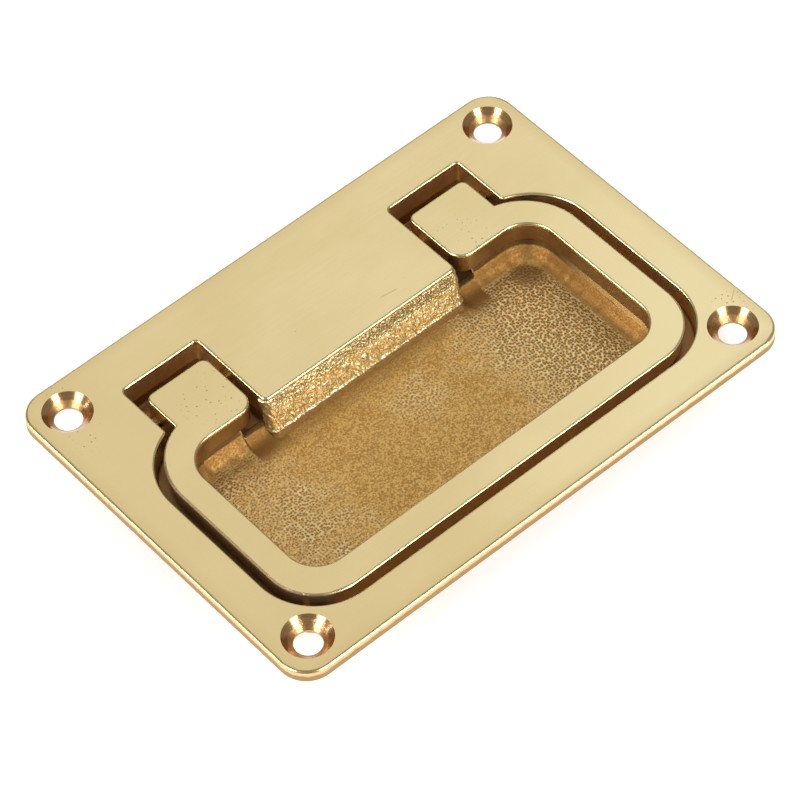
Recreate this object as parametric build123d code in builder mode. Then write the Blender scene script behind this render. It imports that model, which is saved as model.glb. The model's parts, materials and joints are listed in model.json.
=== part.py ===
"""Flush lift ring in cast brass, modelled in millimetres.

A rectangular face plate with a cast-in finger recess is let into a board. A U-shaped ring lies
in a channel round the recess, flush with the plate, and swings up on two short hinge pins that
run through its ears.

Frame: origin at the centre of the screw pattern, on the face of the plate that seats on the
board. +Z points out of the board through the show face, +X runs along the long side of the
plate, and +Y points from the grip towards the hinge.
"""
from build123d import *

import os
from math import radians, sqrt, tan

# Face plate
plate_length = 100.0
plate_width = 70.0
plate_thickness = 2.2
plate_corner_radius = 5.0
plate_edge_rounding = 0.6

# Screw holes, one in each corner of the plate
screw_margin = 6.2
screw_hole_diameter = 4.6
countersink_diameter = 8.2
countersink_angle = 90.0

# Borders of face plate left round the opening for the ring
side_border = 7.1
front_border = 7.1
back_border = 8.7

# Clearances between the ring and the plate, seen from above
ring_side_gap = 1.65
ring_front_gap = 1.5
shoulder_gap = 0.6
ear_back_gap = 3.4
ear_outer_gap = 1.7
ear_inner_gap = 1.2
tongue_gap = 0.6

# Lift ring, seen from above
ring_front_radius = 9.3
ring_shoulder_radius = 11.55
ring_shoulder_width = 5.75
grip_width = 5.3
arm_width = 5.05
window_front_radius = 5.4
window_back_radius = 5.6
ear_inset = 8.05
ear_width = 12.1
ear_length = 12.7
ear_front_radius = 2.8
ear_back_radius = 1.4

# Lift ring, seen from the side
ring_thickness = 4.3
ring_draft = 8.0
ring_edge_rounding = 0.45
ring_underside_rounding = 0.6
knuckle_radius = 2.9
ear_flat_length = 3.6

# Hinge pins, pressed into the casting and running in the ears
hinge_drop = 3.4
pin_diameter = 2.0
pin_running_clearance = 0.05
pin_embed = 2.6
pin_end_recess = 0.5
pin_end_chamfer = 0.3

# Heights inside the casting
ring_seat_gap = 0.3
ear_landing_gap = 0.1
recess_depth = 8.0

# Finger recess inside the channel, and the tongue of plate between the ears
ledge_setback = 0.7
ridge_setback = 0.9
ear_ridge_gap = 1.0
recess_mouth_radius = 6.0
recess_draft = 30.0
recess_foot_radius = 2.4
channel_foot_radius = 0.5
tongue_lean = 14.4
tongue_foot_height = 1.2
tongue_foot_reach = 1.3
tongue_corner_radius = 1.0
notch_corner_radius = 0.8
chute_width = 4.2
opening_edge_rounding = 0.5

# Walls of the casting below the plate
side_wall = 1.8
floor_wall = 1.8
ledge_wall = 1.5
hinge_wall = 3.4
hinge_block_radius = 2.5
casting_draft = 8.0
casting_edge_radius = 1.0

# Levels, with z = 0 on the seating face of the plate
show_face_z = plate_thickness
ring_underside_z = show_face_z - ring_thickness
ledge_z = ring_underside_z - ring_seat_gap
hinge_z = show_face_z - hinge_drop
ear_landing_z = hinge_z - knuckle_radius - ear_landing_gap
recess_floor_z = show_face_z - recess_depth
casting_base_z = recess_floor_z - floor_wall

# Places along X, the same on both sides of the centre line
opening_half = plate_length / 2 - side_border
ring_half = opening_half - ring_side_gap
window_half = ring_half - arm_width
recess_half = window_half + ledge_setback
ear_outer_x = ring_half - ear_inset
ear_inner_x = ear_outer_x - ear_width
notch_outer_x = ear_outer_x + ear_outer_gap
notch_inner_x = ear_inner_x - ear_inner_gap
chute_outer_x = notch_inner_x + chute_width
hinge_wall_outer_x = notch_outer_x + hinge_wall
hinge_wall_inner_x = notch_inner_x - hinge_wall
pin_outer_x = hinge_wall_outer_x - pin_end_recess
pin_inner_x = notch_inner_x - pin_embed
screw_x = plate_length / 2 - screw_margin

# Places along Y
opening_front_y = front_border - plate_width / 2
ring_front_y = opening_front_y + ring_front_gap
window_front_y = ring_front_y + grip_width
recess_front_y = window_front_y - ledge_setback
notch_back_y = plate_width / 2 - back_border
ear_back_y = notch_back_y - ear_back_gap
hinge_y = ear_back_y - knuckle_radius
ear_front_y = ear_back_y - ear_length
ear_slope_y = ear_front_y + ear_flat_length
ear_pocket_front_y = ear_slope_y - ear_ridge_gap
recess_back_y = ear_front_y + ridge_setback
chute_front_y = recess_back_y - (ledge_z - ear_landing_z) * tan(radians(recess_draft))
chute_front_y -= notch_corner_radius
tongue_front_y = ear_front_y - tongue_gap
ring_shoulder_y = ear_front_y + ring_shoulder_width
screw_y = plate_width / 2 - screw_margin

# The opening follows the ring all round. Its shoulders are drawn in towards the ears, so that
# only the shoulder gap is left where they meet the ear notches.
shoulder_reach = notch_outer_x - (ring_half - ring_shoulder_radius)
ring_y_at_notch = ring_shoulder_y - ring_shoulder_radius
ring_y_at_notch += sqrt(ring_shoulder_radius**2 - shoulder_reach**2)
notch_mouth_y = ring_y_at_notch + shoulder_gap
opening_reach = notch_outer_x - (opening_half - ring_shoulder_radius)
opening_shoulder_y = notch_mouth_y + ring_shoulder_radius
opening_shoulder_y -= sqrt(ring_shoulder_radius**2 - opening_reach**2)

# How close a corner must lie to a named place to be taken as the one meant
same_place = 0.01


def between_y(front, back, half_width, mode=Mode.ADD):
    """Draw a rectangle centred on X in the current sketch, from one Y to another."""
    with Locations((0, (front + back) / 2)):
        Rectangle(2 * half_width, back - front, mode=mode)


def beside_centre(inner, outer, front, back):
    """Draw a pair of rectangles in the current sketch, one on each side of the centre line."""
    middle_x = (inner + outer) / 2
    middle_y = (front + back) / 2
    with Locations((-middle_x, middle_y), (middle_x, middle_y)):
        Rectangle(outer - inner, back - front)


def pair_at(shapes, x, y):
    """Find the two corners or edges that lie at plus and minus x, at one y."""
    found = ShapeList()
    for shape in shapes:
        middle = shape.center()
        if abs(abs(middle.X) - x) < same_place and abs(middle.Y - y) < same_place:
            found.append(shape)
    return found


def rounded_frame(front, back, half_width, front_radius, back_radius):
    """Sketch a rectangle with one radius on its front corners and another on its back ones."""
    with BuildSketch() as frame:
        between_y(front, back, half_width)
        fillet(frame.vertices().group_by(Axis.Y)[0], front_radius)
        fillet(frame.vertices().group_by(Axis.Y)[-1], back_radius)
    return frame.sketch


def opening_frame(growth):
    """Sketch the U of the opening in the plate, grown on every side, without its notches."""
    return rounded_frame(
        opening_front_y - growth,
        opening_shoulder_y + growth,
        opening_half + growth,
        ring_front_radius + ring_front_gap + growth,
        ring_shoulder_radius + growth,
    )


def recess_frame(growth):
    """Sketch the mouth of the finger recess at the ledge, grown on every side."""
    return rounded_frame(
        recess_front_y - growth,
        recess_back_y + growth,
        recess_half + growth,
        recess_mouth_radius + growth,
        recess_mouth_radius + growth,
    )


# Plan of the opening in the plate: the ring's U, a notch for each ear, and the tongue between
with BuildSketch() as opening_plan:
    add(opening_frame(0))
    beside_centre(notch_inner_x, notch_outer_x, tongue_front_y, notch_back_y)
    between_y(tongue_front_y, notch_back_y, notch_inner_x, mode=Mode.SUBTRACT)
    fillet(pair_at(opening_plan.vertices(), notch_outer_x, notch_back_y), notch_corner_radius)
    fillet(pair_at(opening_plan.vertices(), notch_inner_x, notch_back_y), notch_corner_radius)
    fillet(pair_at(opening_plan.vertices(), notch_outer_x, notch_mouth_y), notch_corner_radius)
    fillet(pair_at(opening_plan.vertices(), notch_inner_x, tongue_front_y), tongue_corner_radius)

# The tongue's front wall leans out as it goes down, and spreads into a foot at the floor. Its
# back is buried halfway into the back wall of the recess.
with BuildPart() as tongue_wall:
    lean_top_z = show_face_z - opening_edge_rounding
    foot_top_z = recess_floor_z + tongue_foot_height
    foot_top_y = tongue_front_y - (lean_top_z - foot_top_z) * tan(radians(tongue_lean))
    foot_front_y = foot_top_y - tongue_foot_reach
    buried_y = recess_back_y + side_wall / 2
    wall_reach = (ledge_z - recess_floor_z) * tan(radians(recess_draft))
    with BuildSketch(Plane.YZ.offset(-notch_inner_x)):
        with BuildLine():
            Polyline(
                (tongue_front_y, lean_top_z),
                (foot_top_y, foot_top_z),
                (foot_front_y, recess_floor_z),
                (buried_y - wall_reach, recess_floor_z),
                (buried_y, ledge_z),
                (buried_y, lean_top_z),
                close=True,
            )
        make_face()
    extrude(amount=2 * notch_inner_x)
    front_corners = tongue_wall.edges().filter_by(Axis.X, reverse=True)
    front_corners = front_corners.filter_by(Axis.Y, reverse=True).group_by(Axis.Y)
    fillet(front_corners[0] + front_corners[1], tongue_corner_radius)

# Deeper pocket under each ear, for its knuckle and for the ear when the ring stands up. Beside
# the tongue it runs out forwards, through the back wall of the recess.
with BuildPart() as ear_pockets:
    with BuildSketch(Plane.XY.offset(ear_landing_z)) as pocket_plan:
        beside_centre(notch_inner_x, notch_outer_x, ear_pocket_front_y, notch_back_y)
        beside_centre(notch_inner_x, chute_outer_x, chute_front_y, notch_back_y)
        fillet(pocket_plan.vertices(), notch_corner_radius)
    extrude(amount=ledge_z + channel_foot_radius - ear_landing_z)
    fillet(ear_pockets.edges().group_by(Axis.Z)[0], channel_foot_radius)

# Hollow below the plate: the ring's channel, the finger recess inside it, and the ear pockets
with BuildPart() as hollow:
    with BuildSketch(Plane.XY.offset(ledge_z)):
        add(opening_plan.sketch)
    extrude(amount=-ledge_z)
    fillet(hollow.edges().group_by(Axis.Z)[0], channel_foot_radius)
    with BuildSketch(Plane.XY.offset(ledge_z)):
        add(recess_frame(0))
    extrude(amount=recess_floor_z - ledge_z, taper=recess_draft)
    fillet(hollow.edges().group_by(Axis.Z)[0], recess_foot_radius)
    add(ear_pockets.part)

# Casting below the plate: a shallow body under the channel, cut back behind the tongue
with BuildPart() as channel_body:
    with BuildSketch():
        add(opening_frame(side_wall))
        between_y(
            recess_back_y + side_wall,
            opening_shoulder_y + 2 * side_wall,
            hinge_wall_inner_x,
            mode=Mode.SUBTRACT,
        )
    extrude(amount=ledge_z - ledge_wall, taper=casting_draft)
    fillet(channel_body.edges().group_by(Axis.Z)[0], casting_edge_radius)

# A deeper body round the finger recess, with walls that follow the recess
with BuildPart() as recess_body:
    with BuildSketch(Plane.XY.offset(ledge_z)):
        add(recess_frame(side_wall))
    extrude(amount=casting_base_z - ledge_z, taper=recess_draft)
    fillet(recess_body.edges().group_by(Axis.Z)[0], casting_edge_radius)

# A block round each ear pocket, thick enough at its sides to hold a hinge pin
with BuildPart() as hinge_blocks:
    with BuildSketch() as block_plan:
        beside_centre(
            hinge_wall_inner_x,
            hinge_wall_outer_x,
            ear_pocket_front_y - hinge_wall,
            notch_back_y + side_wall,
        )
        fillet(block_plan.vertices(), hinge_block_radius)
    extrude(amount=casting_base_z, taper=casting_draft)
    fillet(hinge_blocks.edges().group_by(Axis.Z)[0], casting_edge_radius)

# Each pin bore is drilled in from the side, just below the plate, and ends blind past the ear
with BuildPart() as pin_bores:
    with BuildSketch(Plane.YZ.offset(pin_inner_x)):
        with Locations((hinge_y, hinge_z)):
            Circle(pin_diameter / 2)
    extrude(amount=hinge_wall_outer_x - pin_inner_x)
    mirror(about=Plane.YZ)

# Face plate and the casting below it, poured in one piece
with BuildPart() as base_plate:
    with BuildSketch() as plate_plan:
        Rectangle(plate_length, plate_width)
        fillet(plate_plan.vertices(), plate_corner_radius)
        add(opening_plan.sketch, mode=Mode.SUBTRACT)
    extrude(amount=plate_thickness)
    show_face = base_plate.faces().sort_by(Axis.Z)[-1]
    fillet(show_face.outer_wire().edges(), plate_edge_rounding)
    show_face = base_plate.faces().sort_by(Axis.Z)[-1]
    fillet(show_face.inner_wires()[0].edges(), opening_edge_rounding)
    add(channel_body.part)
    add(recess_body.part)
    add(hinge_blocks.part)
    add(hollow.part, mode=Mode.SUBTRACT)
    add(tongue_wall.part)
    add(pin_bores.part, mode=Mode.SUBTRACT)
    with Locations((0, 0, show_face_z)):
        with GridLocations(2 * screw_x, 2 * screw_y, 2, 2):
            CounterSinkHole(
                screw_hole_diameter / 2,
                countersink_diameter / 2,
                counter_sink_angle=countersink_angle,
            )

# Under each ear, a knuckle round the pin: flat at the front, then sloping down to its round
with BuildPart() as knuckles:
    knuckle_top_z = ring_underside_z + ring_underside_rounding
    with BuildSketch(Plane.XY.offset(ear_landing_z)) as knuckle_plan:
        beside_centre(ear_inner_x, ear_outer_x, ear_slope_y, ear_back_y)
        fillet(knuckle_plan.vertices().group_by(Axis.Y)[-1], ear_back_radius)
    extrude(amount=knuckle_top_z - ear_landing_z)
    with BuildSketch(Plane.YZ.offset(-ear_outer_x)):
        with Locations((hinge_y, hinge_z)):
            Circle(knuckle_radius)
        with Locations(((ear_slope_y + hinge_y) / 2, (ring_underside_z + knuckle_top_z) / 2)):
            Rectangle(hinge_y - ear_slope_y, ring_underside_rounding)
        make_hull()
    extrude(amount=2 * ear_outer_x, mode=Mode.INTERSECT)

# Lift ring: a U-shaped grip with an ear turned back from each end, cast in one piece
with BuildPart() as lift_ring:
    with BuildSketch(Plane.XY.offset(show_face_z)):
        add(
            rounded_frame(
                ring_front_y,
                ring_shoulder_y,
                ring_half,
                ring_front_radius,
                ring_shoulder_radius,
            )
        )
    extrude(amount=-ring_thickness, taper=ring_draft)
    with BuildSketch(Plane.XY.offset(show_face_z)) as ears_plan:
        beside_centre(ear_inner_x, ear_outer_x, ear_front_y, ear_back_y)
        fillet(ears_plan.vertices().group_by(Axis.Y)[-1], ear_back_radius)
    extrude(amount=-ring_thickness)
    with BuildSketch(Plane.XY.offset(show_face_z)):
        add(
            rounded_frame(
                window_front_y,
                ear_front_y,
                window_half,
                window_front_radius,
                window_back_radius,
            )
        )
        between_y(ear_front_y - window_back_radius, ear_back_y, ear_inner_x)
    extrude(amount=-ring_thickness, mode=Mode.SUBTRACT)
    ear_front_corners = pair_at(lift_ring.edges().filter_by(Axis.Z), ear_inner_x, ear_front_y)
    fillet(ear_front_corners, ear_front_radius)
    fillet(lift_ring.edges().group_by(Axis.Z)[-1], ring_edge_rounding)
    fillet(lift_ring.edges().group_by(Axis.Z)[0], ring_underside_rounding)
    add(knuckles.part)
    with BuildSketch(Plane.YZ.offset(-ear_outer_x)):
        with Locations((hinge_y, hinge_z)):
            Circle(pin_diameter / 2 + pin_running_clearance)
    extrude(amount=2 * ear_outer_x, mode=Mode.SUBTRACT)

# Hinge pins: one short rod through each ear, pressed into the walls of its hinge block
with BuildPart() as hinge_pin_right:
    with BuildSketch(Plane.YZ.offset(pin_inner_x)):
        with Locations((hinge_y, hinge_z)):
            Circle(pin_diameter / 2)
    extrude(amount=pin_outer_x - pin_inner_x)
    chamfer(hinge_pin_right.edges(), pin_end_chamfer)

with BuildPart() as hinge_pin_left:
    add(hinge_pin_right.part)
    mirror(about=Plane.YZ, mode=Mode.REPLACE)

base_plate.part.label = "base_plate"
lift_ring.part.label = "lift_ring"
hinge_pin_left.part.label = "hinge_pin_left"
hinge_pin_right.part.label = "hinge_pin_right"

os.makedirs("parts", exist_ok=True)
export_step(base_plate.part, "parts/base_plate.step")
export_step(lift_ring.part, "parts/lift_ring.step")
export_step(hinge_pin_left.part, "parts/hinge_pin_left.step")
export_step(hinge_pin_right.part, "parts/hinge_pin_right.step")
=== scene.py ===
"""A cast brass flush lift ring, lying closed on a pale studio floor.

The plate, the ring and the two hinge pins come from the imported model. The sand-cast skin of the
finger recess and of the tongue's front wall is worked out here as fine relief. Lengths in the
formulas are millimetres and are turned into metres when a mesh is made.
"""
import json

import bpy
import numpy as np
from mathutils import Matrix, Vector

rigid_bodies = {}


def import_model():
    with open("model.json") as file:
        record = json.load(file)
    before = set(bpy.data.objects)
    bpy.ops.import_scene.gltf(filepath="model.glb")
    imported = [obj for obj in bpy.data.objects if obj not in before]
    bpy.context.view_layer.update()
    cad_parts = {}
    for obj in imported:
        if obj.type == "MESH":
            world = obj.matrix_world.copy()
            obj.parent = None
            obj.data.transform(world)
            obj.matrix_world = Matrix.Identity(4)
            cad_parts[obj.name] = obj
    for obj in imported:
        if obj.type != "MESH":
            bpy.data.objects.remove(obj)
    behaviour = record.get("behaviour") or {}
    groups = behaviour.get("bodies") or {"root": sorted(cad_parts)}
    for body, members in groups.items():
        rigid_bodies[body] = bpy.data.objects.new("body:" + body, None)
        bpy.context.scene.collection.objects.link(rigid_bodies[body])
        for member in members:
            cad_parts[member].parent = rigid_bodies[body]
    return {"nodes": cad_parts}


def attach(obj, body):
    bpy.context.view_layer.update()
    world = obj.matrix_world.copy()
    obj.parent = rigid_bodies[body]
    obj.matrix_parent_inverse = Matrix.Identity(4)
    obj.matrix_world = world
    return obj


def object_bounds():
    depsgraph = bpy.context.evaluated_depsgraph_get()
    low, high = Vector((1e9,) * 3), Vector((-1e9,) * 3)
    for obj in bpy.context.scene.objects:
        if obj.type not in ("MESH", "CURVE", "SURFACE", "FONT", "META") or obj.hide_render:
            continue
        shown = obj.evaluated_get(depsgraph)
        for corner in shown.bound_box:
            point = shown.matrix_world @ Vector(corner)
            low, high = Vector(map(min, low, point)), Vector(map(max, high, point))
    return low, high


for leftover in list(bpy.data.objects):
    bpy.data.objects.remove(leftover)
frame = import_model()
cad_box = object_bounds()

# Camera: it looks down on the plate at about 51 degrees from beyond the near left corner, with
# the hinge at the upper left. Its place and turn were solved from the plate's edges and holes.
camera_data = bpy.data.cameras.new("photo_camera")
camera_data.lens = 191.75
camera_data.sensor_width = 36.0
camera_data.clip_start = 0.01
camera_data.clip_end = 20.0
camera = bpy.data.objects.new("photo_camera", camera_data)
bpy.context.scene.collection.objects.link(camera)
camera_right = Vector((0.75226, -0.65796, -0.03452))
camera_up = Vector((0.5332, 0.57716, 0.61854))
camera_back = Vector((-0.38705, -0.48371, 0.785))
camera.matrix_world = Matrix.Translation(Vector((-0.26007, -0.32415, 0.52094))) @ Matrix(
    (camera_right, camera_up, camera_back)
).transposed().to_4x4()
bpy.context.scene.camera = camera

# Studio: a white floor that the casting lies on, dim white all round, and a large soft lamp behind
# the right-hand corner of the plate that its top mirrors. Two bright lamps draw the white streaks
# in the countersinks, and two low strips draw the white lines along the rounded edges.
bpy.context.scene.view_settings.view_transform = "Standard"

floor_level = cad_box[0][2]
floor_half = 1.5
floor_mesh = bpy.data.meshes.new("studio_floor")
floor_mesh.from_pydata(
    [
        (-floor_half, -floor_half, floor_level),
        (floor_half, -floor_half, floor_level),
        (floor_half, floor_half, floor_level),
        (-floor_half, floor_half, floor_level),
    ],
    [],
    [(0, 1, 2, 3)],
)
floor = bpy.data.objects.new("studio_floor", floor_mesh)
bpy.context.scene.collection.objects.link(floor)


class NodeBench:
    """Places nodes in one tree. A socket, a number or a tuple can be given for each input."""

    def __init__(self, tree):
        self.tree = tree
        self.nodes = tree.nodes

    def feed(self, socket, value):
        """Link a socket to this input, or set the input to a plain value."""
        if isinstance(value, bpy.types.NodeSocket):
            self.tree.links.new(value, socket)
        else:
            socket.default_value = value

    def sum_up(self, operation, first, second=0.0, third=0.0):
        """Combine up to three numbers with one Math operation."""
        node = self.nodes.new("ShaderNodeMath")
        node.operation = operation
        for socket, value in zip(node.inputs, (first, second, third)):
            self.feed(socket, value)
        return node.outputs[0]

    def multiply(self, first, *others):
        """Multiply two or more numbers."""
        for other in others:
            first = self.sum_up("MULTIPLY", first, other)
        return first

    def remaining(self, share):
        """Take a share from 1."""
        return self.sum_up("SUBTRACT", 1.0, share)

    def ease(self, value, low, high, start=0.0, end=1.0):
        """Go smoothly from start to end while value goes from low to high."""
        node = self.nodes.new("ShaderNodeMapRange")
        node.interpolation_type = "SMOOTHSTEP"
        for name, number in (
            ("Value", value),
            ("From Min", low),
            ("From Max", high),
            ("To Min", start),
            ("To Max", end),
        ):
            self.feed(node.inputs[name], number)
        return node.outputs["Result"]

    def blend(self, share, first, second):
        """Mix two colours by a share from 0 to 1."""
        node = self.nodes.new("ShaderNodeMix")
        node.data_type = "RGBA"
        self.feed(node.inputs["Factor"], share)
        self.feed(node.inputs[6], first)
        self.feed(node.inputs[7], second)
        return node.outputs[2]

    def stretch(self, vector, scale):
        """Multiply a vector by a scale along each axis."""
        node = self.nodes.new("ShaderNodeVectorMath")
        node.operation = "MULTIPLY"
        self.feed(node.inputs[0], vector)
        self.feed(node.inputs[1], scale)
        return node.outputs[0]

    def noise(self, vector, scale, detail=2.0):
        """Read soft noise of a size of about one over the scale, from 0 to 1."""
        node = self.nodes.new("ShaderNodeTexNoise")
        self.feed(node.inputs["Vector"], vector)
        node.inputs["Scale"].default_value = scale
        node.inputs["Detail"].default_value = detail
        return node.outputs["Fac"]

    def cells(self, vector, scale):
        """Read the distance to the nearest of many points spread over a plane, in cells."""
        node = self.nodes.new("ShaderNodeTexVoronoi")
        node.voronoi_dimensions = "2D"
        node.inputs["Randomness"].default_value = 0.75
        self.feed(node.inputs["Vector"], vector)
        node.inputs["Scale"].default_value = scale
        return node.outputs["Distance"]

    def join(self, first, second=0.0):
        """Make a vector that lies in the XY plane from two numbers."""
        node = self.nodes.new("ShaderNodeCombineXYZ")
        self.feed(node.inputs[0], first)
        self.feed(node.inputs[1], second)
        return node.outputs[0]

    def place(self):
        """Read the place on the piece in metres, as a vector and as its x, y and z."""
        coordinates = self.nodes.new("ShaderNodeTexCoord").outputs["Object"]
        parts = self.nodes.new("ShaderNodeSeparateXYZ")
        self.feed(parts.inputs[0], coordinates)
        return coordinates, parts.outputs[0], parts.outputs[1], parts.outputs[2]

    def use(self, group, **values):
        """Place a finish group, with its inputs given by name."""
        node = self.nodes.new("ShaderNodeGroup")
        node.node_tree = group
        for name, value in values.items():
            self.feed(node.inputs[name], value)
        return node.outputs

    def raise_up(self, height, depth):
        """Turn a height from 0 to 1 into a surface normal, for a relief this deep, in metres."""
        node = self.nodes.new("ShaderNodeBump")
        node.inputs["Strength"].default_value = 1.0
        node.inputs["Distance"].default_value = depth
        self.feed(node.inputs["Height"], height)
        return node.outputs[0]


def new_material(name, metallic, roughness):
    """Start a node material with one Principled shader, and return it, its bench and shader."""
    material = bpy.data.materials.new(name)
    material.use_nodes = True
    shader = material.node_tree.nodes["Principled BSDF"]
    shader.inputs["Metallic"].default_value = metallic
    shader.inputs["Roughness"].default_value = roughness
    return material, NodeBench(material.node_tree), shader


floor_paint, bench, shader = new_material("studio_floor_paint", 0.0, 0.9)
shader.inputs["Base Color"].default_value = (0.92, 0.92, 0.92, 1)
shader.inputs["Specular IOR Level"].default_value = 0.0
shader.inputs["Emission Color"].default_value = (1, 1, 1, 1)
floor_mesh.materials.append(floor_paint)
floor_rays = bench.nodes.new("ShaderNodeLightPath")
floor_seen = bench.sum_up(
    "MAXIMUM", floor_rays.outputs["Is Camera Ray"], floor_rays.outputs["Is Glossy Ray"]
)
bench.feed(shader.inputs["Emission Strength"], bench.multiply(floor_seen, 0.45))

world = bpy.data.worlds.new("studio_world")
bpy.context.scene.world = world
world.use_nodes = True
bench = NodeBench(world.node_tree)
sky = bench.nodes["Background"]
sky.inputs["Color"].default_value = (1, 1, 1, 1)
sky_rays = bench.nodes.new("ShaderNodeLightPath")
bench.feed(
    sky.inputs["Strength"], bench.ease(sky_rays.outputs["Is Camera Ray"], 0.0, 1.0, 0.36, 1.0)
)


def soft_lamp(name, place, width, height, power):
    """Hang an area lamp at a place, in metres, turned to the middle of the plate."""
    lamp_data = bpy.data.lights.new(name, "AREA")
    lamp_data.shape = "RECTANGLE"
    lamp_data.size = width
    lamp_data.size_y = height
    lamp_data.energy = power
    lamp = bpy.data.objects.new(name, lamp_data)
    bpy.context.scene.collection.objects.link(lamp)
    lamp.location = place
    lamp.rotation_euler = (-Vector(place)).to_track_quat("-Z", "Y").to_euler()


soft_lamp("key_lamp", (0.40, 0.56, 1.02), 1.10, 1.10, 2.6)
soft_lamp("left_lamp", (-0.95, 0.05, 0.58), 0.42, 0.42, 6.5)
soft_lamp("front_lamp", (0.14, -0.95, 0.60), 0.42, 0.42, 6.5)
soft_lamp("left_strip", (-0.92, 0.54, 0.16), 0.60, 0.14, 3.4)
soft_lamp("front_strip", (0.42, -0.98, 0.18), 0.60, 0.14, 3.4)


# Base plate: one brass casting. Its show face and outer edge are ground and polished along the
# length, the screw holes are drilled and countersunk, and the channel walls and the underside
# keep the brown skin they had when they left the sand.
def new_group(name, takes, gives):
    """Start a finish group with named inputs and outputs, and return its bench and ends."""
    group = bpy.data.node_groups.new(name, "ShaderNodeTree")
    for socket_name, kind in takes:
        group.interface.new_socket(socket_name, in_out="INPUT", socket_type=kind)
    for socket_name, kind in gives:
        group.interface.new_socket(socket_name, in_out="OUTPUT", socket_type=kind)
    entrance = group.nodes.new("NodeGroupInput").outputs
    way_out = group.nodes.new("NodeGroupOutput").inputs
    return group, NodeBench(group), entrance, way_out


# Polished brass: long faint brush lines along X, slow smears of tone, a painted drift of light
# from browner painted shade at the left to a paler painted sheen at the right, and small casting
# pits and two scratches in a few places
warm_brass = (0.60, 0.44, 0.20, 1)
finish_outputs = (
    ("Color", "NodeSocketColor"),
    ("Roughness", "NodeSocketFloat"),
    ("Height", "NodeSocketFloat"),
)
polished_brass, bench, taken, given = new_group(
    "polished_brass", (("Place", "NodeSocketVector"),), finish_outputs
)
long_lines = bench.noise(bench.stretch(taken["Place"], (0.05, 1.0, 1.0)), 2600.0, 3.0)
short_lines = bench.noise(bench.stretch(taken["Place"], (0.14, 1.0, 1.0)), 1300.0, 2.0)
lines = bench.sum_up("MULTIPLY_ADD", short_lines, 0.4, bench.multiply(long_lines, 0.6))
smears = bench.noise(bench.stretch(taken["Place"], (0.6, 1.0, 1.0)), 70.0, 3.0)

# Pits in round patches, each given by its middle and its reach in millimetres
pitted = 0.0
for pitted_x, pitted_y, reach in (
    (-48.4, 29.6, 3.5),
    (-42.6, 33.2, 2.6),
    (-44.6, 22.4, 4.0),
    (47.3, -25.2, 4.5),
    (-25.5, 16.0, 6.5),
    (25.0, 13.5, 5.5),
    (-7.0, 17.3, 0.7),
    (12.5, 13.0, 0.7),
    (28.8, -21.2, 0.7),
):
    gap = bench.nodes.new("ShaderNodeVectorMath")
    gap.operation = "DISTANCE"
    bench.feed(gap.inputs[0], bench.stretch(taken["Place"], (1.0, 1.0, 0.0)))
    gap.inputs[1].default_value = (pitted_x / 1000.0, pitted_y / 1000.0, 0.0)
    near = bench.ease(gap.outputs["Value"], reach / 2000.0, reach / 1000.0, 1.0, 0.0)
    pitted = bench.sum_up("MAXIMUM", near, pitted)
pit_size = bench.ease(bench.noise(taken["Place"], 700.0, 0.0), 0.40, 0.65, 0.0, 0.13)
pit_cells = bench.cells(taken["Place"], 900.0)
pits = bench.ease(bench.sum_up("SUBTRACT", pit_cells, pit_size), -0.04, 0.03, 0.7, 0.0)
pits = bench.multiply(pits, pitted)

# Scratches, each given by its middle, its direction and half its length in millimetres
for middle_x, middle_y, along_x, along_y, reach in (
    (8.6, 12.9, 0.99, -0.13, 1.9),
    (48.1, -24.3, 0.83, 0.56, 1.5),
):
    offset = bench.nodes.new("ShaderNodeVectorMath")
    offset.operation = "SUBTRACT"
    bench.feed(offset.inputs[0], taken["Place"])
    offset.inputs[1].default_value = (middle_x / 1000.0, middle_y / 1000.0, 0.0)
    spans = []
    for direction in ((along_x, along_y, 0.0), (-along_y, along_x, 0.0)):
        span = bench.nodes.new("ShaderNodeVectorMath")
        span.operation = "DOT_PRODUCT"
        bench.feed(span.inputs[0], offset.outputs[0])
        span.inputs[1].default_value = direction
        spans.append(bench.sum_up("ABSOLUTE", span.outputs["Value"]))
    scratch = bench.multiply(
        bench.ease(spans[0], 0.6 * reach / 1000.0, reach / 1000.0, 0.38, 0.0),
        bench.ease(spans[1], 0.00004, 0.00016, 1.0, 0.0),
    )
    pits = bench.sum_up("MAXIMUM", pits, scratch)

tone = bench.sum_up("MULTIPLY_ADD", lines, 0.25, bench.multiply(smears, 0.75))
face_colour = bench.blend(
    bench.ease(tone, 0.3, 0.7), (0.705, 0.565, 0.285, 1), (0.775, 0.640, 0.345, 1)
)
place_parts = bench.nodes.new("ShaderNodeSeparateXYZ")
bench.feed(place_parts.inputs[0], taken["Place"])
# Painted light: browner to the left as painted shade, paler towards the near right as a painted
# sheen
painted_shade_left = bench.ease(place_parts.outputs[0], -0.05, 0.015, 0.35, 0.0)
face_colour = bench.blend(painted_shade_left, face_colour, warm_brass)
to_near_right = bench.sum_up("SUBTRACT", place_parts.outputs[0], place_parts.outputs[1])
painted_sheen_right = bench.ease(to_near_right, 0.01, 0.07, 0.0, 0.6)
face_colour = bench.blend(painted_sheen_right, face_colour, (0.87, 0.76, 0.44, 1))
bench.feed(given["Color"], bench.blend(pits, face_colour, (0.30, 0.19, 0.07, 1)))
bench.feed(
    given["Roughness"],
    bench.sum_up("MULTIPLY_ADD", lines, 0.08, bench.sum_up("MULTIPLY_ADD", smears, 0.08, 0.17)),
)
bench.feed(given["Height"], bench.sum_up("MULTIPLY_ADD", pits, -2.0, lines))

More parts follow.
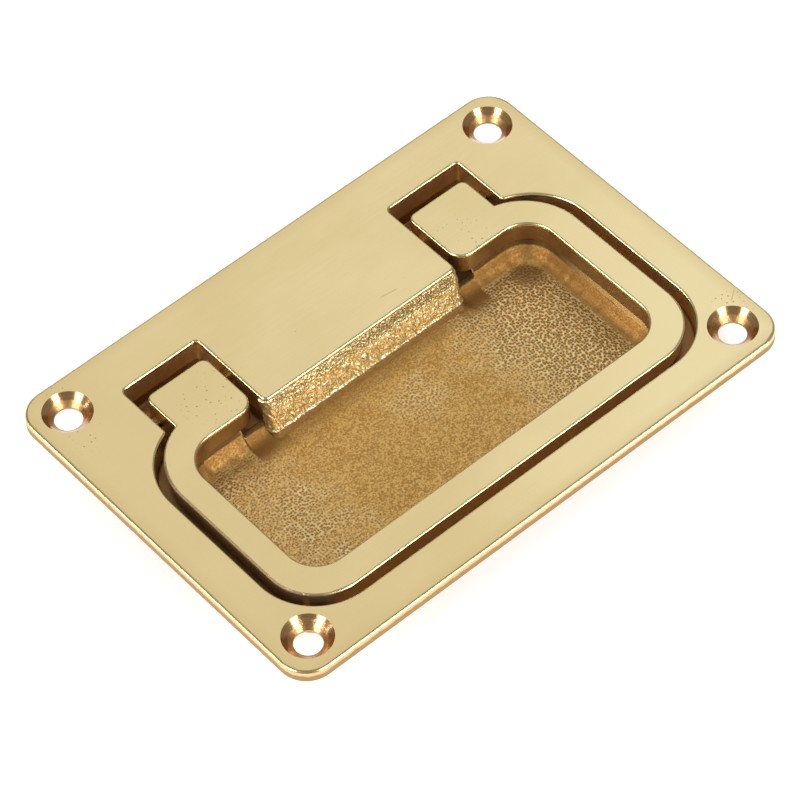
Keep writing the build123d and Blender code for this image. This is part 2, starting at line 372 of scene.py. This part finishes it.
# Sand-cast brass: packed grains with grit between them, in patches of tone, and darker hollows
# where it is coarse
sand_cast_brass, bench, taken, given = new_group(
    "sand_cast_brass",
    (
        ("Place", "NodeSocketVector"),
        ("Coarseness", "NodeSocketFloat"),
        ("Light", "NodeSocketColor"),
        ("Dark", "NodeSocketColor"),
    ),
    finish_outputs,
)
grains = bench.noise(taken["Place"], 1900.0, 0.0)
grit = bench.noise(taken["Place"], 3600.0, 2.0)
patches = bench.noise(taken["Place"], 260.0, 2.0)
hollows = bench.noise(taken["Place"], 1150.0, 1.0)
hollowed = bench.multiply(bench.ease(hollows, 0.50, 0.66), taken["Coarseness"])
height = bench.sum_up("MULTIPLY_ADD", grains, -0.55, bench.multiply(grit, 0.6))
height = bench.sum_up("MULTIPLY_ADD", hollowed, -0.6, height)
shade = bench.sum_up("MULTIPLY_ADD", patches, 0.7, height)
bench.feed(
    given["Color"], bench.blend(bench.ease(shade, -0.25, 0.55), taken["Dark"], taken["Light"])
)
bench.feed(given["Roughness"], bench.ease(grit, 0.35, 0.75, 0.52, 0.34))
bench.feed(given["Height"], height)

# Places on the plate, in metres from its middle and up from its underside
screw_x = 0.0438
screw_y = 0.0288
countersink_radius = 0.0041
opening_x = 0.0433
opening_y = 0.0285
tongue_side_x = 0.0200
chute_side_x = 0.0243

casting_relief = 0.00016
polish_share = 0.008
wall_light = (0.95, 0.70, 0.40, 1)
wall_dark = (0.78, 0.53, 0.27, 1)

plate_brass, bench, shader = new_material("plate_brass", 1.0, 0.35)
spot, x, y, z = bench.place()
side_x = bench.sum_up("ABSOLUTE", x)
side_y = bench.sum_up("ABSOLUTE", y)

# Polished down to an uneven line below the rounded edges, and browner towards the outer edge
wobble = bench.noise(spot, 900.0, 1.0)
edge_height = bench.sum_up("MULTIPLY_ADD", bench.sum_up("SUBTRACT", wobble, 0.5), 0.0006, z)
ground_top = bench.ease(edge_height, 0.00145, 0.00175)
beyond = bench.sum_up(
    "MAXIMUM",
    bench.sum_up("SUBTRACT", side_x, opening_x),
    bench.sum_up("SUBTRACT", side_y, opening_y),
)
outer_side = bench.ease(beyond, 0.0, 0.0002)
ground_side = bench.multiply(outer_side, bench.ease(edge_height, 0.0010, 0.0015))
ground = bench.sum_up("MAXIMUM", ground_top, ground_side)
polish = bench.use(polished_brass, Place=spot)
browner_to_edge = bench.ease(beyond, 0.0036, 0.0065, 0.0, 0.35)
polished_colour = bench.blend(browner_to_edge, polish["Color"], warm_brass)

# Cast brown in the channel; dark brown on the ledge, down the lower outer wall and underneath,
# partly cast skin and partly painted shade; painted shade above the skin of the recess; and dark
# brown behind the skin of the tongue
wall_skin = bench.use(
    sand_cast_brass, Place=spot, Coarseness=0.2, Light=wall_light, Dark=wall_dark
)
# Painted shade: the ledge and channel floor under the ring and the lower outer wall go dark brown
shaded_ledge_and_side = bench.sum_up("MAXIMUM", bench.ease(z, -0.0023, -0.0017, 1.0, 0.0), outer_side)
wall_colour = bench.blend(shaded_ledge_and_side, wall_skin["Color"], (0.40, 0.245, 0.105, 1))
# Painted shade along the top of the recess walls under the ring, darkest at the back
above_skin = bench.multiply(
    bench.ease(z, -0.0027, -0.0024, 1.0, 0.0),
    bench.ease(y, 0.0112, 0.0116, 1.0, 0.0),
    bench.ease(side_x, chute_side_x - 0.0002, chute_side_x + 0.0002),
)
rim_shade = bench.blend(
    bench.ease(y, -0.004, 0.006), (0.42, 0.26, 0.095, 1), (0.13, 0.07, 0.026, 1)
)
wall_colour = bench.blend(above_skin, wall_colour, rim_shade)
on_tongue = bench.multiply(
    bench.ease(side_x, tongue_side_x - 0.0001, tongue_side_x + 0.0002, 1.0, 0.0),
    bench.ease(y, 0.0060, 0.0070),
    bench.ease(y, 0.0100, 0.0104, 1.0, 0.0),
)
wall_colour = bench.blend(on_tongue, wall_colour, (0.22, 0.125, 0.05, 1))

# Coarser in the hollow of the recess and underneath
in_recess = bench.ease(z, -0.0054, -0.0045, 1.0, 0.0)
hollow_skin = bench.use(
    sand_cast_brass,
    Place=spot,
    Coarseness=0.35,
    Light=(0.60, 0.385, 0.14, 1),
    Dark=(0.30, 0.17, 0.058, 1),
)
cast_colour = bench.blend(in_recess, wall_colour, hollow_skin["Color"])
colour = bench.blend(ground, cast_colour, polished_colour)

# Cut cones of the countersinks, with fine rings from the tool
off_x = bench.sum_up("SUBTRACT", side_x, screw_x)
off_y = bench.sum_up("SUBTRACT", side_y, screw_y)
from_screw = bench.sum_up(
    "SQRT", bench.sum_up("MULTIPLY_ADD", off_x, off_x, bench.multiply(off_y, off_y))
)
countersunk = bench.ease(
    from_screw, countersink_radius - 0.00002, countersink_radius + 0.00002, 1.0, 0.0
)
ring_shade = bench.ease(bench.noise(bench.join(from_screw), 5200.0, 1.0), 0.3, 0.7)
cut_colour = bench.blend(ring_shade, (0.46, 0.255, 0.10, 1), (0.58, 0.345, 0.155, 1))
bench.feed(shader.inputs["Base Color"], bench.blend(countersunk, colour, cut_colour))

cast_rough = bench.ease(bench.sum_up("MAXIMUM", in_recess, shaded_ledge_and_side), 0.0, 1.0, 0.36, 0.55)
rough = bench.multiply(bench.remaining(ground), cast_rough)
rough = bench.sum_up("MULTIPLY_ADD", ground, polish["Roughness"], rough)
rough = bench.multiply(rough, bench.ease(countersunk, 0.0, 1.0, 1.0, 0.7))
bench.feed(shader.inputs["Roughness"], rough)
relief = bench.multiply(
    hollow_skin["Height"],
    bench.ease(in_recess, 0.0, 1.0, 0.25, 1.0),
    bench.ease(ground, 0.0, 1.0, 1.0, 0.0),
)
polish_height = bench.multiply(polish["Height"], polish_share)
relief = bench.sum_up("MULTIPLY_ADD", polish_height, ground, relief)
relief = bench.sum_up("MULTIPLY_ADD", bench.multiply(ring_shade, 0.006), countersunk, relief)
bench.feed(shader.inputs["Normal"], bench.raise_up(relief, casting_relief))
frame["nodes"]["base_plate"].material_slots[0].material = plate_brass


# Skin of the finger recess: the floor and sloped walls of the base plate's casting as they left
# the sand, with lumps, packed grains and small pits. It is a grid of points on the plate's own
# hollow, raised by a fine relief and closed below, and it rides on the plate.
def soft_noise(across, along, size, seed):
    """Smooth noise from 0 to 1: random values on a square lattice of this size, eased from one
    lattice point to the next by three t squared minus two t cubed, both ways."""
    table = np.random.default_rng(seed).random((256, 256))
    column = np.floor(across / size).astype(int)
    row = np.floor(along / size).astype(int)
    share = across / size - column
    other = along / size - row
    share = share**2 * (3 - 2 * share)
    other = other**2 * (3 - 2 * other)
    column, row = column % 256, row % 256
    after, above = (column + 1) % 256, (row + 1) % 256
    lower = table[column, row] * (1 - share) + table[after, row] * share
    upper = table[column, above] * (1 - share) + table[after, above] * share
    return lower * (1 - other) + upper * other


def eased(value, low, high):
    """Go from 0 at low to 1 at high by three t squared minus two t cubed, held outside."""
    share = np.clip((value - low) / (high - low), 0, 1)
    return share**2 * (3 - 2 * share)


def closed_sheet(name, front, back, states, material):
    """Make one closed piece of a front grid of points and a back grid, both in millimetres. Each
    square of four neighbours is a face, the back is turned round, and a strip joins the rims.
    States are values from 0 to 1 for each front point, kept as attributes of these names."""
    rows, columns = front.shape[:2]
    count = rows * columns
    index = np.arange(count).reshape(rows, columns)
    quads = np.stack(
        (index[:-1, :-1], index[:-1, 1:], index[1:, 1:], index[1:, :-1]), axis=-1
    ).reshape(-1, 4)
    rim = np.concatenate((index[0, :-1], index[:-1, -1], index[-1, :0:-1], index[:0:-1, 0]))
    rim_next = np.roll(rim, -1)
    strip = np.stack((rim_next, rim, rim + count, rim_next + count), axis=-1)
    faces = np.concatenate((quads, quads[:, ::-1] + count, strip))
    points = np.concatenate((front.reshape(-1, 3), back.reshape(-1, 3))) / 1000.0
    mesh = bpy.data.meshes.new(name)
    mesh.vertices.add(len(points))
    mesh.vertices.foreach_set("co", points.astype(np.float32).ravel())
    mesh.loops.add(faces.size)
    mesh.loops.foreach_set("vertex_index", faces.astype(np.int32).ravel())
    mesh.polygons.add(len(faces))
    mesh.polygons.foreach_set("loop_start", np.arange(0, faces.size, 4, dtype=np.int32))
    mesh.polygons.foreach_set("use_smooth", np.ones(len(faces), dtype=bool))
    mesh.update(calc_edges=True)
    for state, values in states.items():
        kept = mesh.attributes.new(state, "FLOAT", "POINT")
        values = np.concatenate((values.ravel(), np.zeros(count)))
        kept.data.foreach_set("value", values.astype(np.float32))
    mesh.materials.append(material)
    piece = bpy.data.objects.new(name, mesh)
    bpy.context.scene.collection.objects.link(piece)
    return piece


def skin_material(name, light, dark, painted_shade_colour, upright, grain_scale, widest, depth):
    """Sand-cast brass with a small dark pit in each cell of a scattered net, and pale ridges
    between the wide pits, painted with a cream highlight. The net is laid out along X and Y, or X
    and Z where the skin is upright, with so many cells to the metre. The attribute pitting says
    how wide the pits are, up to the widest in cells, and painted_shade how far a painted brown
    shade covers the brass. Depth is in metres."""
    material, bench, shader = new_material(name, 1.0, 0.5)
    spot, x, y, z = bench.place()
    states = []
    for state in ("pitting", "painted_shade"):
        reader = bench.nodes.new("ShaderNodeAttribute")
        reader.attribute_name = state
        states.append(reader.outputs["Fac"])
    pitting, painted_shade = states
    flat_spot = bench.join(x, z if upright else y)
    uneven = bench.noise(flat_spot, 0.9 * grain_scale, 2.0)
    net = bench.sum_up("MULTIPLY_ADD", uneven, 0.15, bench.cells(flat_spot, grain_scale))
    width = bench.ease(pitting, 0.0, 1.0, 0.20, widest)
    beside_pit = bench.sum_up("SUBTRACT", net, width)
    pit = bench.multiply(
        bench.ease(beside_pit, -0.20, 0.10, 1.0, 0.0), bench.ease(pitting, 0.0, 1.0, 0.25, 0.9)
    )
    ridge_glint = bench.multiply(bench.ease(beside_pit, 0.11, 0.34), bench.ease(pitting, 0.1, 0.6))
    grit = bench.noise(spot, 1.7 * grain_scale, 2.0)
    mottle = bench.noise(spot, 0.22 * grain_scale, 2.0)
    shade = bench.sum_up("MULTIPLY_ADD", mottle, 0.15, bench.multiply(grit, 0.85))
    grain_colour = bench.blend(bench.ease(shade, 0.38, 0.62), dark, light)
    # Painted highlight: the pale ridges are given a cream glint colour
    grain_colour = bench.blend(ridge_glint, grain_colour, (0.90, 0.72, 0.38, 1))
    deep = tuple(0.7 * channel for channel in dark[:3]) + (1,)
    colour = bench.blend(pit, grain_colour, deep)
    # Painted shade: the second attribute darkens the brass towards the shade colour
    bench.feed(shader.inputs["Base Color"], bench.blend(painted_shade, colour, painted_shade_colour))
    rough = bench.ease(grit, 0.35, 0.65, 0.5, 0.375)
    rough = bench.sum_up("MULTIPLY_ADD", painted_shade, 0.2, rough)
    bench.feed(shader.inputs["Roughness"], rough)
    height = bench.sum_up("MULTIPLY_ADD", pit, -1.2, bench.multiply(grit, 0.7))
    height = bench.sum_up("MULTIPLY_ADD", ridge_glint, 0.5, height)
    height = bench.multiply(height, bench.ease(painted_shade, 0.3, 1.0, 1.0, 0.15))
    bench.feed(shader.inputs["Normal"], bench.raise_up(height, depth))
    return material


# Sizes of the plate's hollow and of the tongue that reaches into it, in millimetres
floor_z = -5.8
mouth_z = -2.4
mouth_half = 36.9
mouth_front_y = -21.8
mouth_back_y = 11.1
mouth_radius = 6.0
wall_slope = np.tan(np.radians(60.0))
foot_radius = 2.4
tongue_half = 19.9
tongue_front = 9.6
tongue_radius = 1.0
tongue_top = 1.72
tongue_lean = np.tan(np.radians(14.4))
tongue_edge = 1.7
foot_top = -4.6
foot_reach = 1.3
chute_outer_x = 24.1
chute_z = -4.2
skin_step = 0.25
skin_lift = 0.05


def recess_level(inside):
    """Height of the hollow at this distance inside its mouth: down the wall at 60 degrees, round
    an arc of the foot radius that touches wall and floor, then level."""
    floor_start = (mouth_z - floor_z) / wall_slope
    tangent = foot_radius * np.tan(np.radians(30.0))
    centre = floor_start + tangent
    wall = mouth_z - inside * wall_slope
    reach = np.clip(inside - centre, -foot_radius, 0)
    arc = floor_z + foot_radius - np.sqrt(foot_radius**2 - reach**2)
    arc_start = floor_start - tangent / 2
    return np.where(inside < arc_start, wall, np.where(inside < centre, arc, floor_z))


# Columns and rows of points, with a column on each outer side of the chutes
columns = [np.linspace(-mouth_half, -chute_outer_x - 0.06, 52)]
columns.append(np.linspace(-chute_outer_x, chute_outer_x, 194))
columns.append(-columns[0][::-1])
skin_x = np.concatenate(columns)
skin_y = np.arange(mouth_front_y, mouth_back_y + skin_step / 2, skin_step)
skin_y, skin_x = np.meshgrid(skin_y, skin_x, indexing="ij")

# Distance inside the mouth, a rectangle with rounded corners. Points beyond a corner's arc are
# drawn in to it along the line to its centre.
middle_y = (mouth_front_y + mouth_back_y) / 2
half_y = (mouth_back_y - mouth_front_y) / 2
beside_x = np.abs(skin_x) - (mouth_half - mouth_radius)
beside_y = np.abs(skin_y - middle_y) - (half_y - mouth_radius)
reach = np.hypot(np.maximum(beside_x, 0), np.maximum(beside_y, 0))
outside = reach + np.minimum(np.maximum(beside_x, beside_y), 0)
inside = mouth_radius - outside
pull = np.where(reach > mouth_radius, (mouth_radius + 0.01 * reach) / np.maximum(reach, 1.0), 1)
skin_x = skin_x - np.sign(skin_x) * np.maximum(beside_x, 0) * (1 - pull)
skin_y = skin_y - np.sign(skin_y - middle_y) * np.maximum(beside_y, 0) * (1 - pull)

# Relief: gentle waves and lumps on the floor, strong ones on the back wall, streaks that run down
# the other walls, and a fillet that fades away from the tongue's foot. It dies out at the rim,
# where the skin sinks into the plate, and the skin stays low in the chutes beside the tongue.
in_chute = (np.abs(skin_x) < chute_outer_x + 0.01) & (np.abs(skin_x) > 18.0) & (skin_y > 0)
lumps = soft_noise(skin_x, skin_y, 3.2, 11)
waves = soft_noise(skin_x, skin_y, 1.3, 12)
run_down = soft_noise(skin_y, skin_x * 0.3, 0.9, 13)
on_wall = eased(inside, 3.4, 2.0) * np.where(in_chute, 0.0, 1.0)
on_back = on_wall * eased(skin_y, 2.0, 8.0)
relief = 0.05 * (waves - 0.5) + 0.06 * (lumps - 0.5)
relief += on_back * (0.30 * (waves - 0.5) + 0.45 * (lumps - 0.5))
relief += (on_wall - on_back) * (0.14 * (run_down - 0.5) + 0.12 * (lumps - 0.5))
under_tongue = eased(np.abs(skin_x), tongue_half + 1.0, tongue_half - 1.0)
foot_y = tongue_front - (tongue_edge - floor_z) * tongue_lean - foot_reach
beside_foot = np.hypot(
    np.maximum(np.abs(skin_x) - tongue_half, 0), np.maximum(foot_y - skin_y, 0)
)
relief += 0.5 * np.exp(-beside_foot / 0.9) + 0.12 * on_back
relief = np.maximum(relief, -0.02) * eased(inside, 0.1, 1.4)
sunk = 0.7 * eased(inside, 0.6, 0.1)
level = recess_level(np.maximum(inside, 0)) + skin_lift + relief - sunk
level = np.where(in_chute, np.minimum(level, chute_z + 0.03), level)
recess_front = np.stack((skin_x, skin_y, level), axis=-1)
recess_back = recess_front + np.array((0.0, 0.0, -0.6))

# Pits on the floor, widest at the right, and painted shade on the walls, at the foot of the
# tongue, round the back of the rim, in the chutes and in the far right corner
grain_patch = soft_noise(skin_x, skin_y, 2.6, 14)
pitting = eased(skin_x, 8.0, 26.0) + 0.55 * eased(-skin_x, 12.0, 26.0)
middle = np.exp(-(((skin_x - 4.0) / 9.0) ** 2) - ((skin_y - 0.5) / 6.5) ** 2)
pitting = 0.5 * np.clip(0.12 + pitting + 0.5 * middle + 0.5 * (grain_patch - 0.5), 0, 1)
pitting = pitting * (1 - 0.85 * on_wall)
# Painted shade: the brass is darkened where shade falls in the recess
painted_shade = 0.4 * eased(skin_y, foot_y - 2.6, foot_y + 0.4) * under_tongue
painted_shade = np.maximum(painted_shade, (0.68 + 0.15 * eased(skin_x, 0, 30)) * on_wall)
painted_shade = np.maximum(painted_shade, 0.85 * eased(inside, 1.9, 0.7) * eased(skin_y, -8.0, 8.0))
painted_shade = np.maximum(painted_shade, in_chute * eased(skin_y, 4.0, 7.2) * eased(skin_y, 11.6, 9.6))
corner = np.hypot(skin_x - 32.4, skin_y - 6.6)
painted_shade = np.maximum(painted_shade, 0.7 * eased(corner, 4.6, 2.0))
recess_brass = skin_material(
    "recess_brass",
    (0.69, 0.43, 0.145, 1),
    (0.45, 0.25, 0.068, 1),
    (0.34, 0.175, 0.048, 1),
    False,
    2000.0,
    0.42,
    0.00008,
)
recess_piece = closed_sheet(
    "recess_cast_skin",
    recess_front,
    recess_back,
    {"pitting": pitting, "painted_shade": painted_shade},
    recess_brass,
)
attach(recess_piece, "plate")


# Skin of the tongue: the front wall between the ears, which leans out to a foot at the floor of
# the recess. It was never dressed, so its coarse bright grains catch the light. It is a grid of
# points on the wall of the plate's own tongue, raised and closed as above, and rides on the plate.
wrap = 1.2
tongue_step = 0.12
tongue_lift = 0.15

# Points run round the tongue's outline: along a stretch of one side as long as the wrap, round the
# corner, along the front, round the other corner and along the other side. Downwards they follow
# the lean of the wall, and then the slope of the foot.
quarter = tongue_radius * np.pi / 2
front_run = 2 * (tongue_half - tongue_radius)
length = 2 * wrap + 2 * quarter + front_run
run = np.linspace(0, length, int(length / tongue_step))
turn = np.clip((run - wrap) / quarter, 0, 1) + np.clip(
    (run - wrap - quarter - front_run) / quarter, 0, 1
)
facing = np.pi + turn * np.pi / 2
straight = np.clip(run - wrap - quarter, 0, front_run)
path_x = -tongue_half + tongue_radius + straight + tongue_radius * np.cos(facing)
path_y = tongue_radius + tongue_radius * np.sin(facing)
path_y += np.clip(wrap - run, 0, wrap) + np.clip(run - length + wrap, 0, wrap)
drop = np.linspace(tongue_top, floor_z - 0.4, int((tongue_top - floor_z + 0.4) / tongue_step))
front_line = tongue_front - (tongue_edge - drop) * tongue_lean
front_line -= np.clip((foot_top - drop) / (foot_top - floor_z), 0, None) * foot_reach
run_grid, drop_grid = np.meshgrid(run, drop)

# Relief: noise of three sizes on the wall, nearly none on the foot, and a raised line where the
# foot starts. The outer rim sinks into the wall.
coarse = soft_noise(run_grid, drop_grid * 0.8, 1.0, 21)
streaks = soft_noise(run_grid * 1.2 + drop_grid * 0.5, drop_grid * 0.6, 0.42, 22)
fine = soft_noise(run_grid, drop_grid, 0.26, 23)
on_foot = eased(drop_grid, foot_top + 0.1, foot_top - 0.1)
tongue_relief = 0.26 * (streaks - 0.5) + 0.16 * (coarse - 0.5) + 0.08 * (fine - 0.5)
tongue_relief = tongue_relief * (1 - 0.85 * on_foot)
tongue_relief += 0.18 * np.exp(-(((drop_grid - foot_top - 0.1) / 0.15) ** 2)) * (0.5 + fine)
rim_sink = np.maximum(eased(run_grid, 0.7, 0.0), eased(run_grid, length - 0.7, length))
rim_sink = np.maximum(rim_sink, eased(drop_grid, tongue_top - 0.3, tongue_top))
push = np.maximum(tongue_lift + tongue_relief, 0.03) * (1 - rim_sink) - 0.14 * rim_sink
out_x = np.cos(facing)[None, :]
out_y = np.sin(facing)[None, :]
tongue_face = np.stack(
    (
        path_x[None, :] + push * out_x,
        front_line[:, None] + path_y[None, :] + push * out_y,
        drop_grid,
    ),
    axis=-1,
)
tongue_back = np.stack(
    (
        np.broadcast_to(path_x[None, :] - 0.5 * out_x, drop_grid.shape),
        front_line[:, None] + path_y[None, :] - 0.5 * out_y,
        drop_grid,
    ),
    axis=-1,
)

# Pits near the top edge, widest at the right and none round the corners, which leaves the corners
# lighter as a painted highlight, and painted shade on the foot
from_corner = np.abs(np.minimum(run_grid, length - run_grid) - wrap - quarter / 2)
at_corner = eased(from_corner, 1.5, 0.5)
upper = eased(drop_grid, -1.6, 0.8) * (0.45 + 0.55 * eased(path_x, -8.0, 12.0))[None, :]
tongue_pitting = np.clip(0.12 + 0.88 * upper, 0, 1) * (1 - on_foot) * (1 - at_corner)
tongue_brass = skin_material(
    "tongue_brass",
    (0.92, 0.83, 0.53, 1),
    (0.58, 0.44, 0.20, 1),
    (0.27, 0.145, 0.046, 1),
    True,
    1700.0,
    0.58,
    0.00014,
)
tongue_piece = closed_sheet(
    "tongue_cast_skin",
    tongue_face[::-1],
    tongue_back[::-1],
    {"pitting": tongue_pitting[::-1], "painted_shade": on_foot[::-1]},
    tongue_brass,
)
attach(tongue_piece, "plate")


# Lift ring: a brass casting, polished like the plate on top and along its softened upper edges,
# brown down its sides, and left as cast underneath.
ring_side_x = 0.0386
ring_back_y = 0.0130
ring_front_y = -0.0224
window_brown = (0.30, 0.20, 0.11, 1)

ring_brass, bench, shader = new_material("ring_brass", 1.0, 0.35)
spot, x, y, z = bench.place()
wobble = bench.noise(spot, 800.0, 1.0)
edge_height = bench.sum_up("MULTIPLY_ADD", bench.sum_up("SUBTRACT", wobble, 0.5), 0.0005, z)
ground = bench.ease(edge_height, 0.00155, 0.00180)
polish = bench.use(polished_brass, Place=spot)
side_skin = bench.use(
    sand_cast_brass, Place=spot, Coarseness=0.25, Light=wall_light, Dark=wall_dark
)

# Brown walls round the finger opening. The edge at the far left is painted brown and made rough
# too, up to the flat top, as painted shade in place of its highlight.
past = bench.sum_up(
    "MAXIMUM",
    bench.sum_up("SUBTRACT", bench.sum_up("ABSOLUTE", x), ring_side_x),
    bench.sum_up(
        "MAXIMUM",
        bench.sum_up("SUBTRACT", y, ring_back_y),
        bench.sum_up("SUBTRACT", ring_front_y, y),
    ),
)
round_window = bench.ease(past, -0.0002, 0.0002, 1.0, 0.0)
side_colour = bench.blend(round_window, side_skin["Color"], window_brown)
shaded_left_edge = bench.multiply(
    bench.ease(x, -0.0375, -0.0345, 1.0, 0.0),
    bench.ease(past, 0.0004, 0.0008),
    bench.ease(z, 0.00213, 0.00217, 1.0, 0.0),
)
side_colour = bench.blend(shaded_left_edge, side_colour, window_brown)
ground = bench.multiply(ground, bench.remaining(shaded_left_edge))
bench.feed(shader.inputs["Base Color"], bench.blend(ground, side_colour, polish["Color"]))
rough = bench.multiply(bench.remaining(ground), bench.ease(shaded_left_edge, 0.0, 1.0, 0.34, 0.6))
rough = bench.sum_up("MULTIPLY_ADD", ground, polish["Roughness"], rough)
bench.feed(shader.inputs["Roughness"], rough)
relief = bench.multiply(side_skin["Height"], bench.ease(ground, 0.0, 1.0, 0.3, 0.0))
polish_height = bench.multiply(polish["Height"], polish_share)
relief = bench.sum_up("MULTIPLY_ADD", polish_height, ground, relief)
bench.feed(shader.inputs["Normal"], bench.raise_up(relief, casting_relief))
frame["nodes"]["lift_ring"].material_slots[0].material = ring_brass


# Hinge pins: short lengths of drawn brass rod, with fine lines along them from the die. They are
# pressed into the plate and carry the ring's ears.
pin_brass, bench, shader = new_material("pin_brass", 1.0, 0.28)
spot, x, y, z = bench.place()
die_lines = bench.noise(bench.stretch(spot, (0.03, 1.0, 1.0)), 4200.0, 2.0)
# The rod is painted a dark brown, painted shade for the narrow gaps it sits in
bench.feed(
    shader.inputs["Base Color"],
    bench.blend(bench.ease(die_lines, 0.3, 0.7), (0.26, 0.16, 0.06, 1), (0.34, 0.21, 0.085, 1)),
)
bench.feed(shader.inputs["Roughness"], bench.ease(die_lines, 0.3, 0.7, 0.34, 0.24))
bench.feed(shader.inputs["Normal"], bench.raise_up(die_lines, 0.00001))
for pin_name in ("hinge_pin_left", "hinge_pin_right"):
    frame["nodes"][pin_name].material_slots[0].material = pin_brass
